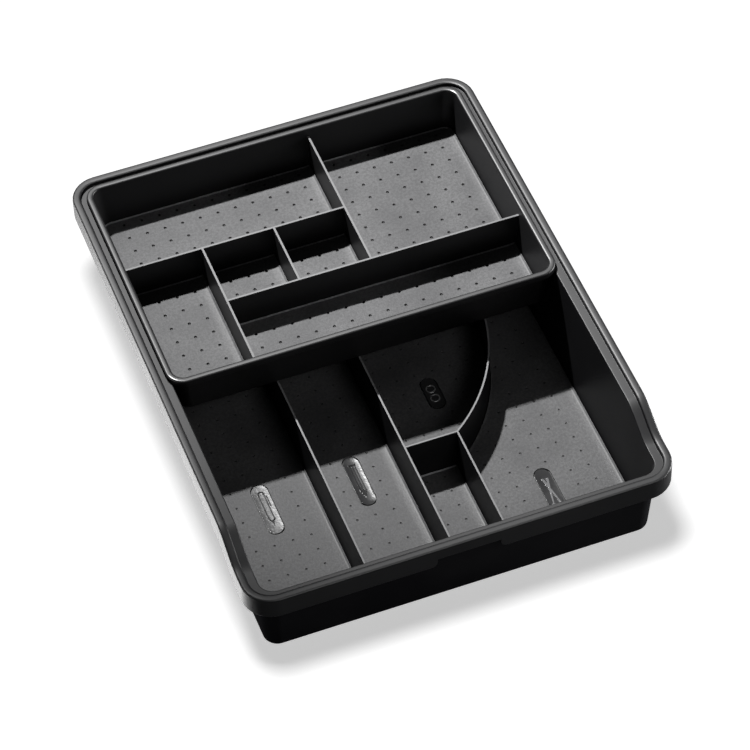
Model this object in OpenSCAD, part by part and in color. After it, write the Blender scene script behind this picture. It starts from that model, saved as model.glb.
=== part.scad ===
// Two-level drawer organizer: a deep divided base tray, and a shallower divided tray
// that rests on the base's rim ledge and slides from the back to the front.
// X runs across the drawer, Y towards its back, Z up. The origin is the middle of the
// footprint, in the plane of the surface that the organizer stands on.

/* [Base tray] */
// Overall width across the rim
base_w = 290; // [270:1:330]
// Overall length, front to back
base_l = 378; // [360:1:420]
// Height of the rim's crest above the table
base_rim_z = 78; // [76:1:90]
// Corner radius of the rim, seen from above
base_corner_r = 20; // [18:1:24]
// Width of the raised bead at the outside of the rim
bead_w = 5.6; // [5:0.1:6]
// Depth of the ledge below the bead's crest
ledge_drop = 3; // [2.9:0.1:4]
// Distance from the rim's outer edge to the top of the inner wall, at the sides
rim_side_w = 11.6; // [11:0.1:11.8]
// The same distance at the front and the back
rim_end_w = 10; // [9:0.1:11]
// Height of the skirt, from the crest to its lower edge
skirt_h = 16.3; // [12:0.1:20]
// How far the front of the rim lies below the rest of it
front_drop = 12; // [4:0.5:16]
// Length of the S-shaped ramp in each side rim
ramp_l = 35; // [30:1:44]
// Distance from the front edge to the foot of that ramp
ramp_front = 28.5; // [26:0.5:40]
// Width of the finger notch in the front skirt
notch_w = 43; // [30:1:80]
// Height of the finger notch
notch_h = 7; // [5:0.5:8]
// Thickness of the moulded walls and floor
wall_t = 2; // [1.8:0.1:2.2]
// Distance from the rim's outer edge to the edge of the floor inside, with its leaning walls
floor_in = 14.8; // [13:0.1:16]

/* [Base compartments] */
// Height of the base dividers above the base floor
base_divider_h = 34.3; // [20:0.1:38]
// Thickness of every divider
divider_t = 1.4; // [1.2:0.1:2]
// Middle of the first long divider, from the centre line
long_divider_1 = -60; // [-80:1:-40]
// Middle of the second long divider
long_divider_2 = -2.5; // [-15:0.5:5]
// Middle of the short divider beside the small front compartment
short_divider = 34.2; // [28:0.1:44]
// Middle of the cross wall behind the small front compartment
cross_wall = -81; // [-95:1:-70]
// Radius of the curved divider
arc_r = 136.4; // [130:0.1:140]
// Turn of the curved divider, from the cross wall to where it points backwards
arc_turn = 53.7; // [50:0.1:56]

/* [Sliding tray] */
// Distance between the two rims' outer edges at the sides
tray_side_gap = 9; // [8.8:0.1:9.4]
// Distance between the two rims' outer edges at the back, with the tray fully back
tray_back_gap = 10; // [9:0.1:14]
// Length of the sliding tray
tray_l = 190; // [180:1:200]
// How far the tray's crest stands above the base's
tray_rise = 2; // [1.5:0.1:3]
// Depth of the tray, from its crest to its floor
tray_depth = 33.1; // [30:0.1:35]
// Width of the tray's rolled rim
tray_bead_w = 4.6; // [4.4:0.1:5]
// How far the tray's walls lean in, from rim to floor
tray_lean = 3; // [2:0.1:4]
// Corner radius of the tray's rim, seen from above
tray_corner_r = 12.5; // [11:0.5:14]
// How far the tray's dividers stay below its crest
tray_divider_drop = 6.5; // [4:0.5:12]
// Spacing of the dividers round the two small square compartments
square_pitch = 50.8; // [45:0.1:54]
// Middle of the divider between the two back compartments
tray_divider = 25.1; // [15:0.1:35]
// Middle of the cross wall in front of the back left compartment
tray_cross_wall = 102.4; // [98:0.1:108]

/* [Mats and icon plates] */
// Thickness of the grip mats
mat_t = 1.2; // [0.8:0.1:2]
// Gap between a mat and the walls around it
mat_gap = 0.5; // [0.3:0.1:1]
// Width of the pill-shaped windows in the mats
window_w = 11.7; // [10:0.1:13]
// Length of the long windows
window_l = 43.7; // [40:0.1:50]
// Length of the short window
window_short_l = 28.5; // [26:0.1:34]
// Gap between an icon plate and its window
plate_gap = 0.65; // [0.3:0.05:0.8]
// Height of the raised pictograms
relief_h = 0.4; // [0.2:0.1:0.6]

/* [Feet] */
// Radius of the rubber feet
foot_r = 7; // [5:0.5:9]
// How far a foot stands proud of the underside
foot_proud = 1; // [0.8:0.1:1.5]
// Depth of the recess that holds a foot
foot_recess = 0.8; // [0.4:0.1:1]
// Distance of the feet from the middle, across
foot_x = 104; // [80:1:108]
// Distance of the feet from the middle, along
foot_y = 148; // [100:1:150]

/* [Hidden] */

black = "#26272a";
grip_grey = "#3b3c3f";
gloss_grey = "#4a4b4e";
rubber_black = "#1d1d1f";

// Steps in a rounded corner, in the ramp, over a bead, and in a fillet
corner_n = 8;
ramp_n = 14;
bead_n = 14;
fillet_n = 4;
// Longer than anything that it cuts
far = 400;

// How square the beads' crowns are: 1 for a half ellipse, less for a squarer one
crown = 0.68;
// Mouldings of the base: bead, edge of the ledge, skirt, lower fillet
bead_h = 1.6;
edge_r = 0.8;
skirt_t = 1.8;
lip_r = 0.6;
under_chamfer = 1;
base_fillet = 4;
lobe_r = 4.5;

// Mouldings of the tray, and its running clearance above the ledge
tray_floor_t = 1.8;
tray_bead_h = 1.9;
tray_wall_t = 1.5;
tray_fillet = 3;
flange_t = 1.4;
flange_step = 0.4;
flange_gap = 0.15;

// How deep a divider's foot sits in the floor, and how far from the wall's face it starts
sink = 0.8;
toe = 0.4;
toe_h = 2;

// Clearance of a foot in its recess, the chamfer round its tread, and the width of the
// raised lines on an icon plate
foot_gap = 0.1;
foot_chamfer = 0.3;
line_w = 0.8;

// Base shell. A name ending in _in is an inset from the rim's outer edge.
base_half = [base_w, base_l] / 2;
base_under_z = foot_proud;
base_floor_z = base_under_z + wall_t;
base_divider_z = base_floor_z + base_divider_h;
ledge_z = base_rim_z - ledge_drop;
skirt_z = base_rim_z - skirt_h;
base_floor_r = 8;

// Sliding tray, as it stands fully back
tray_half = [base_half[0] - tray_side_gap, tray_l / 2];
tray_y = base_half[1] - tray_back_gap - tray_half[1];
tray_rim_z = base_rim_z + tray_rise;
tray_floor_z = tray_rim_z - tray_depth;
tray_under_z = tray_floor_z - tray_floor_t;
tray_divider_z = tray_rim_z - tray_divider_drop;
flange_z = ledge_z + flange_gap;
tray_floor_in = tray_bead_w + tray_lean;
tray_floor_r = 7.5;

// Tray dividers: the two squares sit between the cross wall and the front wall
tray_square_divider = tray_divider - square_pitch;
tray_left_divider = tray_divider - 2 * square_pitch;
tray_front_wall = tray_cross_wall - square_pitch;

// The curved divider starts where the cross wall meets the short divider, and runs
// straight to the back wall from the point where it points backwards
arc_centre = [short_divider, cross_wall] - arc_r * [cos(arc_turn), -sin(arc_turn)];
arc_end_x = arc_centre[0] + arc_r;
arc_stub = 10;

// From a divider's middle to the edge of the mat beside it
mat_off = divider_t / 2 + mat_gap;

// Windows: one in the middle of each bay that has an icon plate
base_floor_half = base_half - [floor_in, floor_in];
pen_at = [(long_divider_1 - base_floor_half[0]) / 2, -71];
pencil_at = [(long_divider_1 + long_divider_2) / 2, -71];
scissors_at = [(short_divider + base_floor_half[0]) / 2, -127];
rings_at = [41, -18.5];

// 0 to 1 along an S with level ends
function ease(t) = let(u = min(1, max(0, t))) u * u * (3 - 2 * u);

// How far the base's rim has dropped at a place along its length
function rim_drop(y) = front_drop * ease((ramp_l + ramp_front - base_half[1] - y) / ramp_l);

// Places along a side where the base's rings have points, front to back
function ramp_ys() = [for (i = [0:ramp_n]) ramp_front - base_half[1] + ramp_l * i / ramp_n];

// Points of a quarter circle round c, from angle a
function corner(c, r, a) = [for (i = [0:corner_n])
    c + r * [cos(a + 90 * i / corner_n), sin(a + 90 * i / corner_n)]];

// A rounded rectangle, anticlockwise, with extra points at the places ys on both sides
function outline(h, r, ys) = concat(
    corner([h[0] - r, r - h[1]], r, -90),
    [for (y = ys) [h[0], y]],
    corner([h[0] - r, h[1] - r], r, 0),
    corner([r - h[0], h[1] - r], r, 90),
    [for (i = [len(ys) - 1:-1:0]) [-h[0], ys[i]]],
    corner([r - h[0], r - h[1]], r, 180));

// One ring of a shell. s is [inset at the sides, inset at the ends, corner radius, height,
// share of the rim's drop]
function ring(half, s, ys) = [for (p = outline([half[0] - s[0], half[1] - s[1]], s[2], ys))
    [p[0], p[1], s[3] - s[4] * rim_drop(p[1])]];

// A section at an inset from a rim whose corner radius is r, so that the corners stay parallel
function parallel(inset, r, z, drop) = [inset, inset, r - inset, z, drop];

// A section of the base's inner wall, which stands further in at the sides than at the ends
function walled(inset, r, z) = [inset + rim_side_w - rim_end_w, inset, r - inset, z, 1];

// Sections over a crowned bead of width w and height h, from its inner side to its outer one
function bead(w, h, crest, corner_r, drop) = [for (i = [0:bead_n])
    let(a = 180 * i / bead_n, across = pow(abs(cos(a)), crown), up = pow(sin(a), crown))
        parallel(w / 2 * (1 + sign(cos(a)) * across), corner_r, crest - h + h * up, drop)];

// Sections down the outer side of a skirt of thickness t, and up its inner side to height top
function skirt(t, z, top, corner_r, drop) = concat(
    [for (a = [0, 45, 90])
        parallel(lip_r * (1 - cos(a)), corner_r, z + lip_r * (1 - sin(a)), drop)],
    [parallel(t, corner_r, z, drop), parallel(t, corner_r, top, drop)]);

// Sections down a quarter-round lower edge of radius r that ends level at height z
function under_edge(inset, r, z, corner_r) = [for (i = [0:fillet_n])
    let(a = 90 * i / fillet_n, d = r * (1 - cos(a)))
        [inset + d, inset + d, corner_r - d, z + r * (1 - sin(a)), 0]];

// A closed shell: sections joined in order, with the first and the last filled in
module shell(half, sections, ys) {
    rings = [for (s = sections) ring(half, s, ys)];
    n = len(rings[0]);
    last = len(rings) - 1;
    polyhedron(
        points = [for (r = rings) each r],
        faces = concat(
            [[for (k = [1:n]) n - k]],
            [[for (k = [0:n - 1]) last * n + k]],
            [for (j = [0:last - 1], k = [0:n - 1])
                [j * n + k, j * n + (k + 1) % n, (j + 1) * n + (k + 1) % n]],
            [for (j = [0:last - 1], k = [0:n - 1])
                [j * n + k, (j + 1) * n + (k + 1) % n, (j + 1) * n + k]]),
        convexity = 10);
}

// Base section: floor, wall, ledge, bead, skirt, and back down the outside
function base_sections() =
    let(r = base_corner_r, under_in = bead_w - skirt_t, web_z = ledge_z - wall_t,
        skirt_top = base_rim_z - bead_h - under_chamfer, wall_in = rim_end_w - wall_t)
    concat(
        [[floor_in, floor_in, base_floor_r, base_floor_z, 0]],
        [for (a = [0, 45, 90])
            walled(rim_end_w - edge_r * (1 - cos(a)), r, ledge_z - edge_r * (1 - sin(a)))],
        [parallel(bead_w, r, ledge_z, 1)],
        bead(bead_w, bead_h, base_rim_z, r, 1),
        skirt(skirt_t, skirt_z, skirt_top, r, 1),
        [parallel(under_in, r, skirt_top, 1),
         parallel(under_in, r, web_z, 1),
         walled(wall_in - under_chamfer, r, web_z),
         walled(wall_in, r, web_z - under_chamfer)],
        under_edge(floor_in - wall_t, base_fillet, base_under_z, base_floor_r + wall_t));

// Tray section: floor, wall, rolled rim, flange, and back down the outside
function tray_sections() =
    let(r = tray_corner_r, flange_top = tray_rim_z - tray_bead_h - flange_step)
    concat(
        [[tray_floor_in, tray_floor_in, tray_floor_r, tray_floor_z, 0]],
        bead(tray_bead_w, tray_bead_h, tray_rim_z, r, 0),
        skirt(flange_t, flange_z, flange_top, r, 0),
        [parallel(tray_bead_w - tray_wall_t, r, flange_top, 0)],
        under_edge(tray_floor_in - tray_wall_t, tray_fillet, tray_under_z,
            tray_floor_r + tray_wall_t));

// The end of a divider inside a leaning wall, as [distance from the middle, height]
function wall_end(half, floor_in, lean, t, floor_z, wall_z, top_z) =
    let(foot_at = half - floor_in, slope = lean / (wall_z - floor_z))
    [[foot_at - toe, floor_z - sink],
     [foot_at + slope * toe_h + t / 2, floor_z + toe_h],
     [foot_at + slope * (top_z - floor_z) + t / 2, top_z]];

function base_end(half, drop) = wall_end(half, floor_in, floor_in - rim_end_w, wall_t,
    base_floor_z, ledge_z - drop, base_divider_z);

function tray_end(half) = wall_end(half, tray_floor_in, tray_lean, tray_wall_t,
    tray_floor_z, tray_rim_z - tray_bead_h, tray_divider_z);

// The end of a divider at another divider's middle
function plain_end(at, floor_z, top_z) = [[at, floor_z - sink], [at, top_z]];

// An upright divider along Y at x, between two ends
module divider_along(x, near, away) {
    translate([x - divider_t / 2, 0, 0])
        rotate([90, 0, 90])
            linear_extrude(divider_t)
                polygon(concat(away, [for (i = [len(near) - 1:-1:0]) near[i]]));
}

// An upright divider along X at y, between two ends
module divider_across(y, near, away) {
    translate([0, y + divider_t / 2, 0])
        rotate([90, 0, 0])
            linear_extrude(divider_t)
                polygon(concat(away, [for (i = [len(near) - 1:-1:0]) near[i]]));
}

function mirrored(points) = [for (p = points) [-p[0], p[1]]];
function shifted(points, d) = [for (p = points) [p[0] + d, p[1]]];

module base_dividers() {
    front = mirrored(base_end(base_half[1], front_drop));
    back = base_end(base_half[1], 0);
    divider_along(long_divider_1, front, back);
    divider_along(long_divider_2, front, back);
    divider_along(short_divider, front,
        plain_end(cross_wall + divider_t / 2, base_floor_z, base_divider_z));
    divider_across(cross_wall, plain_end(long_divider_2, base_floor_z, base_divider_z),
        plain_end(short_divider, base_floor_z, base_divider_z));
    divider_along(arc_end_x,
        plain_end(arc_centre[1] + arc_stub / 2, base_floor_z, base_divider_z), back);
    translate([0, 0, base_floor_z - sink])
        linear_extrude(base_divider_h + sink)
            intersection() {
                difference() {
                    inside_arc(divider_t / 2, arc_stub);
                    inside_arc(-divider_t / 2, arc_stub);
                }
                translate(arc_centre)
                    polygon([[0, 0], far * [cos(arc_turn), -sin(arc_turn)],
                        [far, 0], [far, arc_stub], [0, arc_stub]]);
            }
}

// The finger notch through the front skirt, whose lower corners beside it are rounded
module finger_notch() {
    margin = 1;
    translate([0, skirt_t + margin - base_half[1], skirt_z - front_drop])
        rotate([90, 0, 0])
            linear_extrude(skirt_t + 2 * margin) {
                translate([-notch_w / 2, -margin])
                    square([notch_w, notch_h + margin]);
                for (side = [-1, 1])
                    difference() {
                        translate([side * notch_w / 2 - (1 - side) / 2 * lobe_r, -margin])
                            square([lobe_r, lobe_r + margin]);
                        translate([side * (notch_w / 2 + lobe_r), lobe_r])
                            circle(lobe_r, $fn = 48);
                    }
            }
}

module at_feet() {
    for (x = [-1, 1], y = [-1, 1])
        translate([x * foot_x, y * foot_y, 0]) children();
}

module base_tray() {
    color(black)
        difference() {
            union() {
                shell(base_half, base_sections(), ramp_ys());
                base_dividers();
            }
            finger_notch();
            at_feet()
                cylinder(r = foot_r + foot_gap, h = base_under_z + foot_recess, $fn = 64);
        }
}

module sliding_tray() {
    top = tray_divider_z;
    front = shifted(mirrored(tray_end(tray_half[1])), tray_y);
    back = shifted(tray_end(tray_half[1]), tray_y);
    left = mirrored(tray_end(tray_half[0]));
    right = tray_end(tray_half[0]);
    color(black) {
        translate([0, tray_y, 0])
            shell(tray_half, tray_sections(), []);
        divider_along(tray_divider, plain_end(tray_front_wall, tray_floor_z, top), back);
        divider_across(tray_cross_wall, left, plain_end(tray_divider, tray_floor_z, top));
        divider_along(tray_left_divider, front, plain_end(tray_cross_wall, tray_floor_z, top));
        divider_along(tray_square_divider, plain_end(tray_front_wall, tray_floor_z, top),
            plain_end(tray_cross_wall, tray_floor_z, top));
        divider_across(tray_front_wall, plain_end(tray_left_divider, tray_floor_z, top), right);
    }
}

// A rounded rectangle as a flat shape, from half sizes h and corner radius r
module rounded(h, r) {
    square(2 * [h[0] - r, h[1]], center = true);
    square(2 * [h[0], h[1] - r], center = true);
    for (x = [-1, 1], y = [-1, 1])
        translate([x * (h[0] - r), y * (h[1] - r)]) circle(r, $fn = 64);
}

// The part of a floor between two corners, kept clear of the walls around it
module bay(floor_half, floor_r, centre_y, low, high) {
    intersection() {
        translate([0, centre_y])
            rounded(floor_half - [mat_gap, mat_gap], floor_r - mat_gap);
        translate(low) square(high - low);
    }
}

module base_bay(low, high) {
    bay(base_floor_half, base_floor_r, 0, low, high);
}

module tray_bay(low, high) {
    bay(tray_half - [tray_floor_in, tray_floor_in], tray_floor_r, tray_y, low, high);
}

// Everything on the curved divider's hollow side, grown by d and running straight for l
module inside_arc(d, l) {
    translate(arc_centre) {
        circle(arc_r + d, $fn = 200);
        square([arc_r + d, l]);
    }
}

// A pill-shaped outline of length l along Y and width w
module pill(l, w) {
    square([w, l - w], center = true);
    for (side = [-1, 1])
        translate([0, side * (l - w) / 2]) circle(w / 2, $fn = 48);
}

module base_mat(window, window_len) {
    color(grip_grey)
        translate([0, 0, base_floor_z])
            linear_extrude(mat_t)
                difference() {
                    children();
                    translate(window) pill(window_len, window_w);
                }
}

module base_mat_left() {
    base_mat(pen_at, window_l)
        base_bay([-far, -far], [long_divider_1 - mat_off, far]);
}

module base_mat_centre() {
    base_mat(pencil_at, window_l)
        base_bay([long_divider_1 + mat_off, -far], [long_divider_2 - mat_off, far]);
}

module base_mat_small() {
    color(grip_grey)
        translate([0, 0, base_floor_z])
            linear_extrude(mat_t)
                base_bay([long_divider_2 + mat_off, -far],
                    [short_divider - mat_off, cross_wall - mat_off]);
}

module base_mat_round() {
    base_mat(rings_at, window_short_l)
        intersection() {
            base_bay([long_divider_2 + mat_off, cross_wall + mat_off], [far, far]);
            inside_arc(-mat_off, far);
        }
}

module base_mat_right() {
    base_mat(scissors_at, window_l)
        difference() {
            base_bay([short_divider + mat_off, -far], [far, far]);
            inside_arc(mat_off, far);
        }
}

module tray_mat(low, high) {
    color(grip_grey)
        translate([0, 0, tray_floor_z])
            linear_extrude(mat_t)
                tray_bay(low, high);
}

module tray_mat_back_left() {
    tray_mat([-far, tray_cross_wall + mat_off], [tray_divider - mat_off, far]);
}

module tray_mat_back_right() {
    tray_mat([tray_divider + mat_off, tray_front_wall + mat_off], [far, far]);
}

module tray_mat_front_left() {
    tray_mat([-far, -far], [tray_left_divider - mat_off, tray_cross_wall - mat_off]);
}

module tray_mat_square_left() {
    tray_mat([tray_left_divider + mat_off, tray_front_wall + mat_off],
        [tray_square_divider - mat_off, tray_cross_wall - mat_off]);
}

module tray_mat_square_right() {
    tray_mat([tray_square_divider + mat_off, tray_front_wall + mat_off],
        [tray_divider - mat_off, tray_cross_wall - mat_off]);
}

module tray_mat_front_strip() {
    tray_mat([tray_left_divider + mat_off, -far], [far, tray_front_wall - mat_off]);
}

// A glossy plate that fills a window, with its pictogram as a raised shape
module icon_plate(at, l) {
    color(gloss_grey)
        translate([at[0], at[1], base_floor_z]) {
            linear_extrude(mat_t)
                pill(l - 2 * plate_gap, window_w - 2 * plate_gap);
            linear_extrude(mat_t + relief_h)
                children();
        }
}

// A ring with its line on the inside of radius r
module ring_line(r) {
    difference() {
        circle(r, $fn = 48);
        circle(r - line_w, $fn = 48);
    }
}

// A pen: an outlined barrel, a solid tip, and a clip beside it
module icon_plate_pen() {
    barrel = [4.4, 26];
    tip = 5;
    icon_plate(pen_at, window_l) {
        translate([0, tip / 2]) difference() {
            pill(barrel[1], barrel[0]);
            pill(barrel[1] - 2 * line_w, barrel[0] - 2 * line_w);
        }
        translate([0, tip / 2 - barrel[1] / 2])
            polygon([[-line_w, line_w], [line_w, line_w], [0, -tip]]);
        translate([barrel[0] / 2 + line_w, barrel[1] / 4])
            square([line_w, barrel[1] / 3], center = true);
    }
}

// A pencil: three lines along its shaft, a pointed end, and a band at the other end
module icon_plate_pencil() {
    shaft = [4.4, 22];
    point = 6;
    icon_plate(pencil_at, window_l)
        translate([0, (point - shaft[1]) / 2]) {
            for (side = [-1, 0, 1])
                translate([side * (shaft[0] - line_w) / 2 - line_w / 2, 0])
                    square([line_w, shaft[1]]);
            polygon([[-shaft[0] / 2, 0], [shaft[0] / 2, 0], [0, -point]]);
            translate([0, shaft[1] + line_w])
                square([shaft[0], line_w], center = true);
        }
}

// Two rings, for small round things
module icon_plate_rings() {
    ring_r = 3.4;
    icon_plate(rings_at, window_short_l)
        for (side = [-1, 1])
            translate([0, side * (ring_r + line_w)]) ring_line(ring_r);
}

// Scissors: two crossed blades with a finger ring on each
module icon_plate_scissors() {
    ring_r = 2.1;
    ring_x = 2.5;
    blade = 22;
    icon_plate(scissors_at, window_l)
        for (side = [-1, 1]) {
            translate([side * ring_x, -blade / 2]) ring_line(ring_r);
            translate([0, ring_r - line_w / 2 - blade / 2])
                polygon([[side * (ring_x + line_w / 2), 0], [side * (ring_x - line_w / 2), 0],
                    [-side * ring_x, blade], [-side * line_w, blade]]);
        }
}

module foot(x, y) {
    color(rubber_black)
        translate([x * foot_x, y * foot_y, 0])
            rotate_extrude($fn = 64)
                polygon([[0, 0], [foot_r - foot_chamfer, 0], [foot_r, foot_chamfer],
                    [foot_r, base_under_z + foot_recess], [0, base_under_z + foot_recess]]);
}

module foot_front_left() { foot(-1, -1); }
module foot_front_right() { foot(1, -1); }
module foot_back_left() { foot(-1, 1); }
module foot_back_right() { foot(1, 1); }

base_tray();
sliding_tray();
base_mat_left();
base_mat_centre();
base_mat_small();
base_mat_round();
base_mat_right();
tray_mat_back_left();
tray_mat_back_right();
tray_mat_front_left();
tray_mat_square_left();
tray_mat_square_right();
tray_mat_front_strip();
icon_plate_pen();
icon_plate_pencil();
icon_plate_rings();
icon_plate_scissors();
foot_front_left();
foot_front_right();
foot_back_left();
foot_back_right();
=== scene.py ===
"""Looks for a two-level drawer organizer: mats with pressed dimples, satin plastic, glossy plates.

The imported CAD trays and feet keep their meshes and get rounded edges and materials. Each grip mat
is rebuilt on its CAD solid's outline, with its dimples as real hollows. Each pill plate is its CAD
solid, cut finely and pressed into a shallow dish that leans.
Lengths are in metres, in the frame of the CAD model, and colours are linear.
"""

import math

import bpy
import bmesh
import numpy as np
from mathutils import Matrix, Vector, geometry

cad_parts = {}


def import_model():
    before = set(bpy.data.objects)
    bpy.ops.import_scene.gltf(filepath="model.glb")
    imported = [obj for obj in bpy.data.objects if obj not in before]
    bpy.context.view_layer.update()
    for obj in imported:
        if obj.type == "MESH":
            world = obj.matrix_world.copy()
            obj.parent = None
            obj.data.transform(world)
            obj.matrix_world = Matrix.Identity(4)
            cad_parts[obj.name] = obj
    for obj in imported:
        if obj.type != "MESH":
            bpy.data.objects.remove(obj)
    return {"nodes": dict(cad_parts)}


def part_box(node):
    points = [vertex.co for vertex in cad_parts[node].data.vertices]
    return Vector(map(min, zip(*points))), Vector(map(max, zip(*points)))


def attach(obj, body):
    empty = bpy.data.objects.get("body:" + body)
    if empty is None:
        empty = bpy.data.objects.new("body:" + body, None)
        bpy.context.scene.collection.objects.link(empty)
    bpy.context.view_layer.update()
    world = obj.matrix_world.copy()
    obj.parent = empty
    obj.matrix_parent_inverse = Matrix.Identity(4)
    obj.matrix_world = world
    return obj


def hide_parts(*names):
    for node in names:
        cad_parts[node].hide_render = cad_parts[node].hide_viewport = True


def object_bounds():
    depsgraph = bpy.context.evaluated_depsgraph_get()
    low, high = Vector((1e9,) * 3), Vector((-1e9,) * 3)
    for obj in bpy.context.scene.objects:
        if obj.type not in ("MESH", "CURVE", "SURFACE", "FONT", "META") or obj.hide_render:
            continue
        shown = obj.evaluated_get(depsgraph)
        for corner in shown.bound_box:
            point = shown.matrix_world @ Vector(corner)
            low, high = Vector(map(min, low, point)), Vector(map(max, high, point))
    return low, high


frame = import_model()
cad_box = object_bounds()

MM = 0.001

# Camera: its place, its direction and roll in degrees, and its lens and sensor in millimetres
CAMERA_AT = Vector((-508.4, -1489.5, 1846.3)) * MM
CAMERA_AZIMUTH = -19.085
CAMERA_ELEVATION = 49.241
CAMERA_ROLL = -2.117
CAMERA_LENS = 173.64
CAMERA_SENSOR = 36.0
CAMERA_CLIP_END = 20.0

# Rounded edges of the CAD nodes
TRAY_EDGE = 0.45 * MM
FOOT_EDGE = 0.2 * MM
EDGE_STEPS = 3
EDGE_ANGLE = math.radians(50)
FLAT_ANGLE = math.radians(0.5)

# Dimples: a square lattice for the base's mats and one for the tray's. A dimple is a radius and a
# depth. Its profile goes from the rim to the middle, in shares of the radius and of the depth
PITCH = 12.7 * MM
DIMPLE_SIDES = 16
DIMPLE_MARGIN = 3.35 * MM
DIMPLE_PROFILE = [(1.0, 0.0), (0.93, 0.16), (0.8, 0.55), (0.55, 0.88), (0.25, 1.0)]
BASE_DIMPLE = (0.85 * MM, 0.5 * MM)
TRAY_DIMPLE = (1.15 * MM, 0.9 * MM)

# Edge of a mat: its outline turns up in a small cove, a rounded crest and a hollow down to the flat
COVE_W = 2.1 * MM
COVE_H = 0.6 * MM
COVE_TOP = 0.2 * MM
CREST_TURNS = np.radians([0, 45, 90])
HOLLOW_SHARES = (0.17, 0.33, 0.5, 0.67, 0.83, 1.0)

# The cove carries a painted highlight along the mat's back side, in these of its bands
CREST_HIGHLIGHT_BANDS = (1, 2, 3, 4, 5)
CREST_HIGHLIGHT_REACH = 2.5 * MM

# The edge round a mat's window is rounded
WINDOW_EDGE_R = 0.35 * MM
WINDOW_TURNS = np.radians([0, 30, 60, 90])

# Along its right side a mat also rises gently towards the wall
RISE_W = 7.0 * MM
RISE_CUTS = 6
TRAY_RISE = 0.5 * MM

# Column of the lattice and rise of each base mat
BASE_MATS = {
    "base_mat_left": (-113.7 * MM, 0.1 * MM),
    "base_mat_centre": (-43.8 * MM, 0.5 * MM),
    "base_mat_small": (9.5 * MM, 0.4 * MM),
    "base_mat_round": (9.5 * MM, 0.4 * MM),
    "base_mat_right": (50.2 * MM, 0.45 * MM),
}
BASE_ROW = -63.1 * MM
TRAY_MATS = [
    "tray_mat_back_left",
    "tray_mat_back_right",
    "tray_mat_front_left",
    "tray_mat_square_left",
    "tray_mat_square_right",
    "tray_mat_front_strip",
]
TRAY_COLUMN = -113.03 * MM
TRAY_ROW = 152.4 * MM
FEET = ["foot_front_left", "foot_front_right", "foot_back_left", "foot_back_right"]

# Plates: hollowed like a shallow spoon. Each leans a little in its window, by degrees, but its
# foot stays flat. The marks are its raised pictogram
PLATES = {
    "icon_plate_pen": {"lean": 2.2, "depth": 0.15 * MM, "marks": "dark"},
    "icon_plate_pencil": {"lean": -4.0, "depth": 0.55 * MM, "marks": "dark"},
    "icon_plate_rings": {"lean": 0.0, "depth": 0.35 * MM, "marks": "light"},
    "icon_plate_scissors": {"lean": -6.5, "depth": 0.1 * MM, "marks": "light"},
}
PLATE_CELL = 0.7 * MM
PLATE_SHARP = math.radians(40)
PLATE_FOOT_H = 0.1 * MM
MARK_H = 0.3 * MM

# Material numbers in the meshes of the mats and of the plates. The mats' hollow material is painted
# shade inside the dimples, and their crest material a painted highlight along the back edge
FLAT, HOLLOW_SHADE, CREST_HIGHLIGHT = 0, 1, 2
FACE, MARKS = 0, 1

# Points closer than SAME are one point, and a point within LEVEL of a solid's top or bottom is on
# it. Cutting a plate leaves edges shorter than SLIVER, which are removed. CUT_SLACK and FILL_SLACK
# are how near a point has to be to a cut, or to another point in a sheet, to lie on it
SAME = 0.001 * MM
LEVEL = 0.01 * MM
SLIVER = 0.003 * MM
CUT_SLACK = 1e-8
FILL_SLACK = 1e-9
# A triangle whose middle is within this share of a dimple's radius lies in the dimple
RIM_SHARE = 0.99

# Colours
PLASTIC_DARK = (0.006, 0.006, 0.0068)
PLASTIC_LIGHT = (0.0095, 0.0095, 0.0103)
# Lighter edges: wear plus a painted highlight
PLASTIC_WEAR_AND_SHEEN = (0.1, 0.1, 0.103)
# Painted highlight on the dividers' tops
PLASTIC_RIDGE_HIGHLIGHT = (0.12, 0.12, 0.123)
GRIP_DARK = (0.058, 0.058, 0.06)
GRIP_LIGHT = (0.094, 0.094, 0.096)
GRIP_PIT = (0.03, 0.03, 0.031)
PLATE_DARK = (0.012, 0.012, 0.0125)
PLATE_LIGHT = (0.026, 0.026, 0.027)
INK_DARK = (0.006, 0.006, 0.0065)
INK_LIGHT = (0.012, 0.012, 0.0125)
SILVER_DARK = (0.1, 0.1, 0.103)
SILVER_LIGHT = (0.17, 0.17, 0.173)
RUBBER_DARK = (0.014, 0.014, 0.015)
RUBBER_LIGHT = (0.028, 0.028, 0.029)
FLOOR_WHITE = (0.9, 0.9, 0.9, 1)
WHITE = (1, 1, 1, 1)

# The dividers' tops, at these heights and facing up, carry a painted highlight
BASE_RIDGE_Z = 37.3 * MM
TRAY_RIDGE_Z = 73.5 * MM
RIDGE_FADE = (0.5 * MM, 0.1 * MM)
RIDGE_UP = (0.7, 0.95)
# Edges are rubbed lighter, partly wear and partly a painted highlight, where rounding them off by
# this radius turns the normal: by its cosine
WEAR_AND_SHEEN_RADIUS = 0.5 * MM
WEAR_AND_SHEEN_COSINES = (0.98, 0.75)
WEAR_AND_SHEEN_SAMPLES = 4
# How far up a surface faces where walls turn into tops, and where tops turn into walls
WALL_TO_TOP = (0.3, 0.8)
TOP_TO_WALL = (0.4, 0.2)
# The body's outside is told from its inside by how far out its faces' planes lie, and from the
# skirt by how far it is from the rectangle that joins the rim corners' centres
OUTSIDE = (100 * MM, 120 * MM)
RIM_CORNER = 20 * MM
SKIRT_TO_BODY = (18.5 * MM, 17.5 * MM)

# Floor: just below the feet's treads, with a glow that makes it an even white
FLOOR_SIDE = 6.0
FLOOR_Z = -0.2 * MM
FLOOR_GLOW = 0.54

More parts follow.
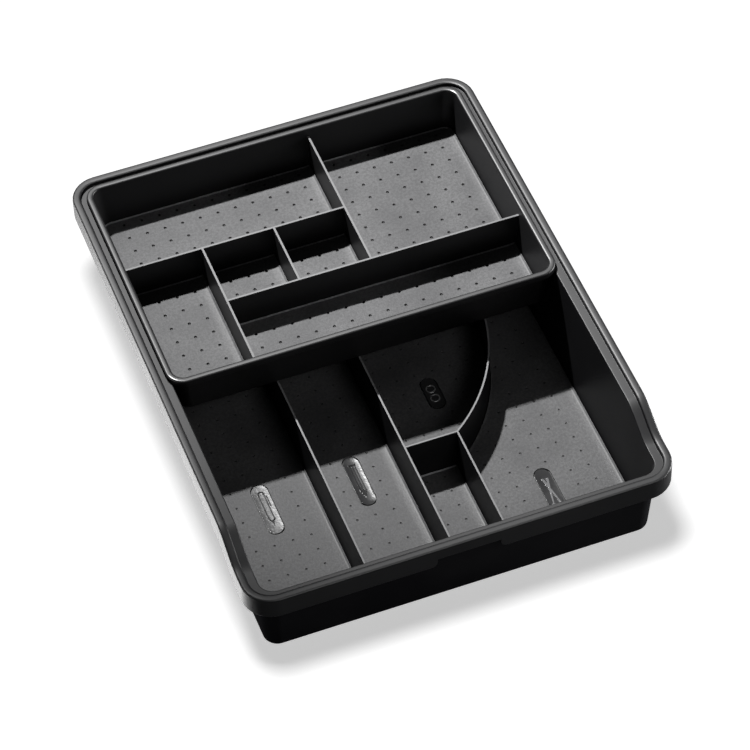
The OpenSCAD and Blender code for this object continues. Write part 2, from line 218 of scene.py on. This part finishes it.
# Lamps. The key casts the shadows, and the softboxes light what it leaves dark. None of them
# lights the floor, which has its own lamp
MIDDLE = Vector((0, 0, 0.04))
KEY_TRAVEL = Vector((0.14, -0.52, -1.0)).normalized()
KEY_DISTANCE = 4.0
KEY = {
    "at": MIDDLE - KEY_TRAVEL * KEY_DISTANCE,
    "target": (0.12, 0.11, 0.05),
    "radius": 0.07,
    "half_angle": 0.105,
    "power": 1500,
}
SOFTBOXES = {
    "left": {"at": (-1.6, -0.2, 0.1), "target": MIDDLE, "size": (1.2, 0.15), "power": 4},
    "right": {"at": (1.6, -0.2, 0.5), "target": MIDDLE, "size": (1.2, 0.8), "power": 18},
    "low_right": {"at": (1.3, -0.1, -0.35), "target": MIDDLE, "size": (1.0, 0.2), "power": 35},
    "front": {"at": (0.4, -1.5, 1.6), "target": MIDDLE, "size": (0.8, 0.6), "power": 10},
    "low_left": {
        "at": (-0.45, 0.35, -0.4), "target": (-0.145, 0.0, 0.06), "size": (0.5, 0.9), "power": 10,
    },
    "low_front": {
        "at": (0, -0.43, -0.002), "target": (0, -0.43, 1), "size": (0.7, 0.44), "power": 0.25,
    },
}
GROUND_FILL = {"at": (-0.24, 0.1, 2.4), "target": (0, 0, 0), "size": (0.6, 0.6), "power": 37}
WORLD_LIGHT = 0.03


def put(name, data):
    """A new object in the scene."""
    obj = bpy.data.objects.new(name, data)
    bpy.context.scene.collection.objects.link(obj)
    return obj


# ---------------------------------------------------------------- materials


class Nodes:
    """A material's node tree, with short calls to add nodes and join them."""

    # Places of the colours among a mix node's inputs and outputs
    MIX_A = 6
    MIX_B = 7
    MIX_RESULT = 2

    def __init__(self, name):
        self.material = bpy.data.materials.new(name)
        self.material.use_nodes = True
        self.tree = self.material.node_tree
        self.shader = self.tree.nodes["Principled BSDF"]
        self.place = self.add("ShaderNodeTexCoord").outputs["Object"]

    def add(self, kind, **inputs):
        node = self.tree.nodes.new(kind)
        self.fill_in(node, inputs)
        return node

    def surface(self, **inputs):
        """Sets inputs of the material's shader."""
        self.fill_in(self.shader, inputs)

    def fill_in(self, node, inputs):
        """Sets a node's inputs by name, where an underscore stands for a space."""
        for key, value in inputs.items():
            self.join(value, node.inputs[key.replace("_", " ")])

    def join(self, value, socket):
        if isinstance(value, bpy.types.NodeSocket):
            self.tree.links.new(value, socket)
        else:
            socket.default_value = value

    def noise(self, scale, detail):
        node = self.add("ShaderNodeTexNoise", Vector=self.place, Scale=scale, Detail=detail)
        return node.outputs["Fac"]

    def ramp(self, value, low, high, to_low=0.0, to_high=1.0):
        """A smooth step: to_low where the value is at low, to_high where it is at high."""
        node = self.add("ShaderNodeMapRange", Value=value)
        node.interpolation_type = "SMOOTHSTEP"
        self.fill_in(node, {"From Min": low, "From Max": high, "To Min": to_low, "To Max": to_high})
        return node.outputs["Result"]

    def maths(self, operation, a, b=0.0):
        node = self.tree.nodes.new("ShaderNodeMath")
        node.operation = operation
        self.join(a, node.inputs[0])
        self.join(b, node.inputs[1])
        return node.outputs["Value"]

    def dot(self, a, b):
        node = self.tree.nodes.new("ShaderNodeVectorMath")
        node.operation = "DOT_PRODUCT"
        self.join(a, node.inputs[0])
        self.join(b, node.inputs[1])
        return node.outputs["Value"]

    def mix(self, factor, a, b):
        node = self.tree.nodes.new("ShaderNodeMix")
        node.data_type = "RGBA"
        self.join(factor, node.inputs["Factor"])
        self.join((*a, 1.0) if isinstance(a, tuple) else a, node.inputs[self.MIX_A])
        self.join((*b, 1.0) if isinstance(b, tuple) else b, node.inputs[self.MIX_B])
        return node.outputs[self.MIX_RESULT]

    def along(self, vector, axis):
        return self.add("ShaderNodeSeparateXYZ", Vector=vector).outputs[axis]

    def normal(self):
        return self.add("ShaderNodeNewGeometry").outputs["Normal"]

    def up(self):
        """How far a surface faces up: the vertical part of its normal."""
        return self.along(self.normal(), "Z")

    def edges(self, radius):
        """0 on flat surfaces, towards 1 where the surface turns within the radius."""
        bevel = self.add("ShaderNodeBevel", Radius=radius)
        bevel.samples = WEAR_AND_SHEEN_SAMPLES
        return self.ramp(self.dot(bevel.outputs["Normal"], self.normal()), *WEAR_AND_SHEEN_COSINES)

    def outer_wall(self):
        """1 on the outside of the body below its skirt, 0 on the skirt and inside."""
        outward = self.ramp(self.dot(self.place, self.normal()), *OUTSIDE)
        outward = self.maths("MULTIPLY", outward, self.ramp(self.up(), *TOP_TO_WALL))
        beyond = []
        for axis, half in zip("XY", cad_box[1]):
            side = self.maths("ABSOLUTE", self.along(self.place, axis))
            side = self.maths("MAXIMUM", self.maths("SUBTRACT", side, half - RIM_CORNER))
            beyond.append(self.maths("MULTIPLY", side, side))
        reach = self.maths("SQRT", self.maths("ADD", *beyond))
        return self.maths("MULTIPLY", outward, self.ramp(reach, *SKIRT_TO_BODY))

    def ridge(self, level):
        """1 on surfaces at this height that face up, 0 elsewhere."""
        off = self.maths("ABSOLUTE", self.maths("SUBTRACT", self.along(self.place, "Z"), level))
        near = self.ramp(off, *RIDGE_FADE)
        return self.maths("MULTIPLY", near, self.ramp(self.up(), *RIDGE_UP))

    def bump(self, height, distance, strength):
        node = self.add("ShaderNodeBump", Height=height, Distance=distance, Strength=strength)
        self.surface(Normal=node.outputs["Normal"])


def plastic(name, ridge_z, wall, top, rub_and_sheen, coat):
    """Black moulded plastic with a fine grain: satin where it faces up, duller on walls.

    Edges are rubbed lighter, partly wear and partly a painted highlight, and the dividers' tops,
    which stand at ridge_z, carry a painted highlight. Walls and tops have their own specular
    levels, and only tops have the clear coat.
    """
    nodes = Nodes(name)
    cloud = nodes.noise(scale=14.0, detail=3.0)
    grain = nodes.noise(scale=2600.0, detail=1.0)
    wear_and_sheen = nodes.edges(WEAR_AND_SHEEN_RADIUS)
    colour = nodes.mix(nodes.ramp(cloud, low=0.3, high=0.7), PLASTIC_DARK, PLASTIC_LIGHT)
    # Edges are lighter: wear plus a painted highlight
    colour = nodes.mix(nodes.maths("MULTIPLY", wear_and_sheen, rub_and_sheen), colour, PLASTIC_WEAR_AND_SHEEN)
    # Painted highlight on the dividers' tops
    colour = nodes.mix(nodes.ridge(ridge_z), colour, PLASTIC_RIDGE_HIGHLIGHT)
    rough = nodes.ramp(cloud, low=0.25, high=0.75, to_low=0.46, to_high=0.5)
    rough = nodes.maths("SUBTRACT", rough, nodes.maths("MULTIPLY", wear_and_sheen, 0.1))
    shine = nodes.ramp(nodes.up(), *WALL_TO_TOP, to_low=wall, to_high=top)
    shine = nodes.maths("MULTIPLY", shine, nodes.maths("SUBTRACT", 1.0, nodes.outer_wall()))
    coated = nodes.ramp(nodes.up(), *WALL_TO_TOP, to_high=coat)
    nodes.surface(Base_Color=colour, Roughness=rough, IOR=1.5, Specular_IOR_Level=shine)
    nodes.surface(Coat_Weight=coated, Coat_Roughness=0.24)
    nodes.bump(grain, distance=0.03 * MM, strength=0.3)
    return nodes.material


def grip(name, tone):
    """Grey soft-touch mat: matt, with a fine pebble grain and faint handling marks."""
    nodes = Nodes(name)
    cloud = nodes.noise(scale=22.0, detail=4.0)
    mottle = nodes.noise(scale=480.0, detail=2.0)
    pebble = nodes.noise(scale=1100.0, detail=3.0)
    dark, light, pit = (tuple(tone * level for level in shade)
                        for shade in (GRIP_DARK, GRIP_LIGHT, GRIP_PIT))
    colour = nodes.mix(nodes.ramp(cloud, low=0.3, high=0.7), dark, light)
    colour = nodes.mix(nodes.ramp(mottle, low=0.4, high=0.62, to_high=0.4), colour, pit)
    colour = nodes.mix(nodes.ramp(pebble, low=0.35, high=0.7, to_high=0.4), colour, pit)
    rough = nodes.ramp(cloud, low=0.25, high=0.75, to_low=0.44, to_high=0.52)
    nodes.surface(Base_Color=colour, Roughness=rough, Specular_IOR_Level=0.35)
    nodes.bump(pebble, distance=0.1 * MM, strength=0.7)
    return nodes.material


def gloss(name, dark, light, rough, specular):
    """Glossy plate or its raised marks: smooth and a little wavy."""
    nodes = Nodes(name)
    cloud = nodes.noise(scale=60.0, detail=3.0)
    uneven = nodes.ramp(cloud, low=0.3, high=0.7, to_low=rough - 0.04, to_high=rough + 0.04)
    nodes.surface(Base_Color=nodes.mix(cloud, dark, light), Roughness=uneven)
    nodes.surface(IOR=1.6, Specular_IOR_Level=specular)
    nodes.bump(nodes.noise(scale=420.0, detail=3.0), distance=0.15 * MM, strength=0.8)
    return nodes.material


def rubber():
    """Black rubber for the feet."""
    nodes = Nodes("foot_rubber")
    grain = nodes.noise(scale=1800.0, detail=2.0)
    rough = nodes.ramp(grain, low=0.3, high=0.7, to_low=0.7, to_high=0.85)
    nodes.surface(Base_Color=nodes.mix(grain, RUBBER_DARK, RUBBER_LIGHT), Roughness=rough)
    nodes.bump(grain, distance=0.05 * MM, strength=0.6)
    return nodes.material


# ------------------------------------------------------------------- meshes


def dress(obj, material, edge):
    """Gives a CAD node its material, rounded edges and clean shading. Its own mesh stays."""
    obj.data.materials.clear()
    obj.data.materials.append(material)
    for polygon in obj.data.polygons:
        polygon.use_smooth = True
    weld = obj.modifiers.new("weld", "WELD")
    weld.merge_threshold = SAME
    flat = obj.modifiers.new("flat_faces", "DECIMATE")
    flat.decimate_type = "DISSOLVE"
    flat.angle_limit = FLAT_ANGLE
    round_off = obj.modifiers.new("round_edges", "BEVEL")
    round_off.width = edge
    round_off.segments = EDGE_STEPS
    round_off.limit_method = "ANGLE"
    round_off.angle_limit = EDGE_ANGLE
    round_off.use_clamp_overlap = True
    even_shading(obj)


def even_shading(obj):
    """Shades large faces flat, so that rounded edges look round."""
    normals = obj.modifiers.new("normals", "WEIGHTED_NORMAL")
    normals.keep_sharp = True


def stand_in(mesh, node, suffix, materials):
    """Turns a mesh into the piece that stands for a CAD node."""
    data = bpy.data.meshes.new(node + suffix)
    mesh.to_mesh(data)
    mesh.free()
    for material in materials:
        data.materials.append(material)
    for polygon in data.polygons:
        polygon.use_smooth = True
    piece = put(node + suffix, data)
    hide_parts(node)
    return piece


def cut(mesh, across, at):
    """Cuts a mesh's faces by the plane that stands across a direction, this far along it."""
    bmesh.ops.bisect_plane(mesh, geom=mesh.verts[:] + mesh.edges[:] + mesh.faces[:],
                           plane_co=across * at, plane_no=across, dist=CUT_SLACK)


def top_loops(node):
    """The closed outlines of a CAD mat's top face, as arrays of points, and its two levels."""
    low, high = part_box(node)
    mesh = bmesh.new()
    mesh.from_mesh(frame["nodes"][node].data)
    bmesh.ops.remove_doubles(mesh, verts=mesh.verts, dist=SAME)
    rest = [face for face in mesh.faces if any(v.co.z <= high.z - LEVEL for v in face.verts)]
    bmesh.ops.delete(mesh, geom=rest, context="FACES_ONLY")
    step = {}
    for edge in mesh.edges:
        if len(edge.link_loops) == 1:
            loop = edge.link_loops[0]
            step[loop.vert.index] = (loop.link_loop_next.vert.index, loop.vert.co.to_2d())
    loops = []
    while step:
        at, points = next(iter(step)), []
        while at in step:
            at, point = step.pop(at)
            points.append(point)
        loops.append(np.array(points))
    mesh.free()
    return loops, low.z, high.z


def inset(points, distance):
    """A closed outline moved towards the material, which lies on its left."""
    ahead = np.roll(points, -1, 0) - points
    ahead /= np.linalg.norm(ahead, axis=1)[:, None]
    side = np.stack([-ahead[:, 1], ahead[:, 0]], 1)
    both = side + np.roll(side, 1, 0)
    both /= (both * side).sum(1)[:, None]
    return points + both * distance


def inside(points, spots):
    """Which spots lie inside a closed outline, by crossing number."""
    x, y = spots[:, 0][:, None], spots[:, 1][:, None]
    a, b = points, np.roll(points, -1, 0)
    crosses = (a[:, 1] > y) != (b[:, 1] > y)
    with np.errstate(divide="ignore", invalid="ignore"):
        at = a[:, 0] + (y - a[:, 1]) / (b[:, 1] - a[:, 1]) * (b[:, 0] - a[:, 0])
    return ((x < at) & crosses).sum(1) % 2 == 1


def in_material(loops, spots):
    """Which spots lie in the sheet that the loops bound: the odd-even rule over all loops."""
    return sum(inside(points, spots).astype(int) for points in loops) % 2 == 1


def circle(centre, radius):
    """Points round a centre, as many as a dimple has sides."""
    turns = np.linspace(0, 2 * math.pi, DIMPLE_SIDES, endpoint=False)
    return centre + radius * np.stack([np.cos(turns), np.sin(turns)], 1)


def lattice(start, low, high):
    """The places between low and high that lie whole pitches away from the start."""
    first = math.ceil((low - start) / PITCH)
    last = math.floor((high - start) / PITCH)
    return start + PITCH * np.arange(first, last + 1)


def dimple_spots(loops, column, row):
    """The lattice points whose dimple lies in the mat with the margin around it."""
    low = np.min([points.min(0) for points in loops], 0)
    high = np.max([points.max(0) for points in loops], 0)
    xs = lattice(column, low[0], high[0])
    ys = lattice(row, low[1], high[1])
    spots = np.array([(x, y) for x in xs for y in ys])
    keep = np.ones(len(spots), bool)
    for offset in circle(np.zeros(2), DIMPLE_MARGIN):
        keep &= in_material(loops, spots + offset)
    return spots[keep]


def cove(high):
    """Edge of a mat from the outline inwards, as distances and heights."""
    crest = [(COVE_TOP * (1 - math.cos(turn)), high + COVE_H - COVE_TOP * (1 - math.sin(turn)))
             for turn in CREST_TURNS]
    hollow = [(COVE_TOP + (COVE_W - COVE_TOP) * share, high + COVE_H * (1 - share) ** 2)
              for share in HOLLOW_SHARES]
    return crest + hollow


def window_edge(high):
    """Rounded edge of a mat round its window, as distances and heights."""
    return [(WINDOW_EDGE_R * (1 - math.cos(turn)), high - WINDOW_EDGE_R * (1 - math.sin(turn)))
            for turn in WINDOW_TURNS]


def ring(mesh, points, z):
    """An outline's points in a mesh, at one height."""
    return [mesh.verts.new((x, y, z)) for x, y in points]


def bridge(mesh, lower, upper, material):
    """The band of faces between two rings."""
    faces = []
    for i in range(len(lower)):
        j = (i + 1) % len(lower)
        face = mesh.faces.new((lower[i], lower[j], upper[j], upper[i]))
        face.material_index = material
        faces.append(face)
    return faces


def fill(mesh, outlines, rings, spots=(), radius=0.0, flip=False):
    """Fills the sheet between the outlines with triangles, leaving windows and dimples open.

    The dimples' outlines come last, one for each spot.
    """
    points, edges, owners = [], [], []
    for outline, verts in zip(outlines, rings):
        first = len(points)
        points += [Vector(p) for p in outline]
        edges += [(first + i, first + (i + 1) % len(verts)) for i in range(len(verts))]
        owners += verts
    found, _, faces, origin, _, _ = geometry.delaunay_2d_cdt(points, edges, [], 0, FILL_SLACK)
    middles = np.array([sum((found[i] for i in face), Vector((0, 0))) / len(face)
                        for face in faces])
    keep = in_material(outlines[:len(outlines) - len(spots)], middles)
    for spot in spots:
        keep &= np.linalg.norm(middles - spot, axis=1) > radius * RIM_SHARE
    for face, wanted in zip(faces, keep):
        if wanted:
            corners = [owners[origin[i][0]] for i in face]
            mesh.faces.new(corners[::-1] if flip else corners)


def rise(mesh, right, low, height):
    """Lifts the top of a mat in a slope that steepens towards its right side."""
    for step in range(1, RISE_CUTS + 1):
        cut(mesh, Vector((1, 0, 0)), right - RISE_W * step / RISE_CUTS)
    for vert in mesh.verts:
        share = 1 - (right - vert.co.x) / RISE_W
        if share > 0 and vert.co.z > low + LEVEL:
            vert.co.z += height * share * share


def press(mesh, spot, radius, depth, high):
    """Makes one dimple and gives its rim."""
    rings = [ring(mesh, circle(spot, radius * out), high - depth * down)
             for out, down in DIMPLE_PROFILE]
    bridge(mesh, rings[0], rings[1], FLAT)
    # The dimple's inner faces take the darker grip: painted shade
    for wider, narrower in zip(rings[1:], rings[2:]):
        bridge(mesh, wider, narrower, HOLLOW_SHADE)
    mesh.faces.new(rings[-1]).material_index = HOLLOW_SHADE
    return rings[0]


def mat(node, column, row, dimple, height, materials):
    """A grip mat on the outline of its CAD solid: rounded upper edges and pressed dimples."""
    loops, low, high = top_loops(node)
    outer = max(range(len(loops)), key=lambda number: np.ptp(loops[number][:, 0]))
    spots = dimple_spots(loops, column, row)
    radius, depth = dimple
    mesh = bmesh.new()
    flat, flat_rings, base_rings = [], [], []
    for number, points in enumerate(loops):
        edge = cove(high) if number == outer else window_edge(high)
        rings = [ring(mesh, points, low)]
        rings += [ring(mesh, inset(points, distance), z) for distance, z in edge]
        back = points[:, 1].max() - CREST_HIGHLIGHT_REACH
        for band, (lower, upper) in enumerate(zip(rings, rings[1:])):
            # Painted highlight on the cove along the mat's back side
            crest = number == outer and band in CREST_HIGHLIGHT_BANDS
            for face in bridge(mesh, lower, upper, FLAT):
                if crest and face.calc_center_median().y > back:
                    face.material_index = CREST_HIGHLIGHT
        base_rings.append(rings[0])
        flat_rings.append(rings[-1])
        flat.append(inset(points, edge[-1][0]))
    for spot in spots:
        flat_rings.append(press(mesh, spot, radius, depth, high))
        flat.append(circle(spot, radius))
    fill(mesh, flat, flat_rings, spots, radius)
    fill(mesh, loops, base_rings, flip=True)
    rise(mesh, loops[outer][:, 0].max(), low, height)
    piece = stand_in(mesh, node, "_grip", materials)
    even_shading(piece)
    return piece


def plate(node, lean, depth, materials):
    """A plate from its CAD solid, cut finely and pressed into a shallow dish that leans."""
    low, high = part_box(node)
    centre = (low + high) / 2
    radius = (high.x - low.x) / 2
    reach = (high.y - low.y) / 2 - radius
    mesh = bmesh.new()
    mesh.from_mesh(frame["nodes"][node].data)
    for face in mesh.faces:
        raised = face.calc_center_median().z > high.z - MARK_H
        face.material_index = MARKS if raised else FACE
    bmesh.ops.remove_doubles(mesh, verts=mesh.verts, dist=SAME)
    for axis, across in enumerate((Vector((1, 0, 0)), Vector((0, 1, 0)))):
        for at in np.arange(low[axis] + PLATE_CELL / 2, high[axis], PLATE_CELL):
            cut(mesh, across, at)
    bmesh.ops.dissolve_degenerate(mesh, edges=mesh.edges[:], dist=SLIVER)
    slope = math.tan(math.radians(lean))
    for vert in mesh.verts:
        if vert.co.z > low.z + PLATE_FOOT_H:
            x, y = vert.co.x - centre.x, vert.co.y - centre.y
            beyond = max(abs(y) - reach, 0.0)
            off = min(math.hypot(x, beyond) / radius, 1.0)
            vert.co.z += slope * x - depth * (1 - off * off)
    piece = stand_in(mesh, node, "_gloss", materials)
    piece.data.set_sharp_from_angle(angle=PLATE_SHARP)
    return piece


# -------------------------------------------------------------------- build

# Edges are made lighter by wear plus a painted highlight, most on the tray
plastic_base = plastic("satin_black_base", BASE_RIDGE_Z, wall=0.1, top=0.6, rub_and_sheen=0.4, coat=0.03)
plastic_tray = plastic("satin_black_tray", TRAY_RIDGE_Z, wall=0.45, top=0.6, rub_and_sheen=1.0, coat=1.0)
# One grip material in two tones: the base's mats darker and the tray's lighter, as painted shade
# and light
grip_base = grip("grip_mat_base", tone=0.8)
grip_tray = grip("grip_mat_tray", tone=1.15)
# A dark copy of the grip: painted shade inside the dimples
grip_hollow_shade = grip("grip_mat_hollow_shade", tone=0.12)
# A light copy of the grip: painted highlight along the mats' back crest
grip_crest_highlight = grip("grip_mat_crest_highlight", tone=4.0)
plate_face = gloss("gloss_plate", PLATE_DARK, PLATE_LIGHT, rough=0.34, specular=0.5)
plate_marks = {
    "dark": gloss("gloss_marks_dark", INK_DARK, INK_LIGHT, rough=0.5, specular=0.15),
    "light": gloss("gloss_marks_light", SILVER_DARK, SILVER_LIGHT, rough=0.3, specular=0.7),
}
foot_rubber = rubber()

dress(frame["nodes"]["base_tray"], plastic_base, TRAY_EDGE)
dress(frame["nodes"]["sliding_tray"], plastic_tray, TRAY_EDGE)
for name in FEET:
    dress(frame["nodes"][name], foot_rubber, FOOT_EDGE)

base_grips = (grip_base, grip_hollow_shade, grip_crest_highlight)
for name, (column, height) in BASE_MATS.items():
    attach(mat(name, column, BASE_ROW, BASE_DIMPLE, height, base_grips), "base")
for name, how in PLATES.items():
    glosses = (plate_face, plate_marks[how["marks"]])
    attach(plate(name, how["lean"], how["depth"], glosses), "base")
tray_grips = (grip_tray, grip_hollow_shade, grip_crest_highlight)
tray_parts = [frame["nodes"]["sliding_tray"]]
for name in TRAY_MATS:
    liner = mat(name, TRAY_COLUMN, TRAY_ROW, TRAY_DIMPLE, TRAY_RISE, tray_grips)
    tray_parts.append(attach(liner, "upper_tray"))


# -------------------------------------------------------------------- stage


def floor():
    """A white floor. It shows in no reflection, and throws no light or shadow on the object."""
    nodes = Nodes("floor")
    nodes.surface(Base_Color=FLOOR_WHITE, Roughness=0.9, Specular_IOR_Level=0.1)
    nodes.surface(Emission_Color=WHITE, Emission_Strength=FLOOR_GLOW)
    data = bpy.data.meshes.new("floor")
    corners = [(x * FLOOR_SIDE, y * FLOOR_SIDE, FLOOR_Z)
               for x, y in ((-1, -1), (1, -1), (1, 1), (-1, 1))]
    data.from_pydata(corners, [], [range(len(corners))])
    data.materials.append(nodes.material)
    obj = put("floor", data)
    obj.visible_diffuse = False
    obj.visible_glossy = False
    obj.visible_shadow = False
    return obj


def lamp(name, kind, at, target, power):
    """A lamp at a place, turned to its target."""
    data = bpy.data.lights.new(name, kind)
    data.energy = power
    obj = put(name, data)
    obj.location = at
    obj.rotation_euler = (Vector(target) - Vector(at)).to_track_quat("-Z", "Y").to_euler()
    return obj


def spotlight(name, at, target, radius, half_angle, power):
    """A round lamp whose light fades towards the edge of its beam."""
    obj = lamp(name, "SPOT", at, target, power)
    obj.data.shadow_soft_size = radius
    obj.data.spot_size = 2 * half_angle
    obj.data.spot_blend = 1.0
    return obj


def softbox(name, at, target, size, power):
    """A rectangular lamp."""
    obj = lamp(name, "AREA", at, target, power)
    obj.data.shape = "RECTANGLE"
    obj.data.size, obj.data.size_y = size
    return obj


def receivers(light, objects, state):
    """Makes a light fall only on these objects, or on everything but them."""
    group = bpy.data.collections.new(light.name + "_receivers")
    for obj in objects:
        group.objects.link(obj)
    for linked in group.collection_objects:
        linked.light_linking.link_state = state
    light.light_linking.receiver_collection = group


def lamps(ground):
    """All lamps. The front one leaves out the sliding tray too."""
    receivers(spotlight("key", **KEY), [ground], "EXCLUDE")
    for name, how in SOFTBOXES.items():
        left_out = [ground] + tray_parts if name == "front" else [ground]
        receivers(softbox(name, **how), left_out, "EXCLUDE")
    receivers(softbox("ground_fill", **GROUND_FILL), [ground], "INCLUDE")


def camera():
    """The camera at its place, turned by its azimuth, elevation and roll."""
    azimuth, elevation, roll = (math.radians(angle) for angle in
                                (CAMERA_AZIMUTH, CAMERA_ELEVATION, CAMERA_ROLL))
    back = Vector((math.sin(azimuth) * math.cos(elevation),
                   -math.cos(azimuth) * math.cos(elevation), math.sin(elevation)))
    level = Vector((math.cos(azimuth), math.sin(azimuth), 0))
    right = Matrix.Rotation(roll, 3, back) @ level
    turned = Matrix((right, back.cross(right), back)).transposed().to_4x4()
    data = bpy.data.cameras.new("camera")
    data.lens = CAMERA_LENS
    data.sensor_width = CAMERA_SENSOR
    data.clip_end = CAMERA_CLIP_END
    obj = put("camera", data)
    obj.matrix_world = Matrix.Translation(CAMERA_AT) @ turned
    bpy.context.scene.camera = obj


def world():
    """A faint even light from all sides."""
    studio = bpy.data.worlds.new("studio")
    studio.use_nodes = True
    background = studio.node_tree.nodes["Background"]
    background.inputs["Color"].default_value = WHITE
    background.inputs["Strength"].default_value = WORLD_LIGHT
    bpy.context.scene.world = studio


ground = floor()
camera()
world()
lamps(ground)
bpy.context.scene.view_settings.view_transform = "Standard"
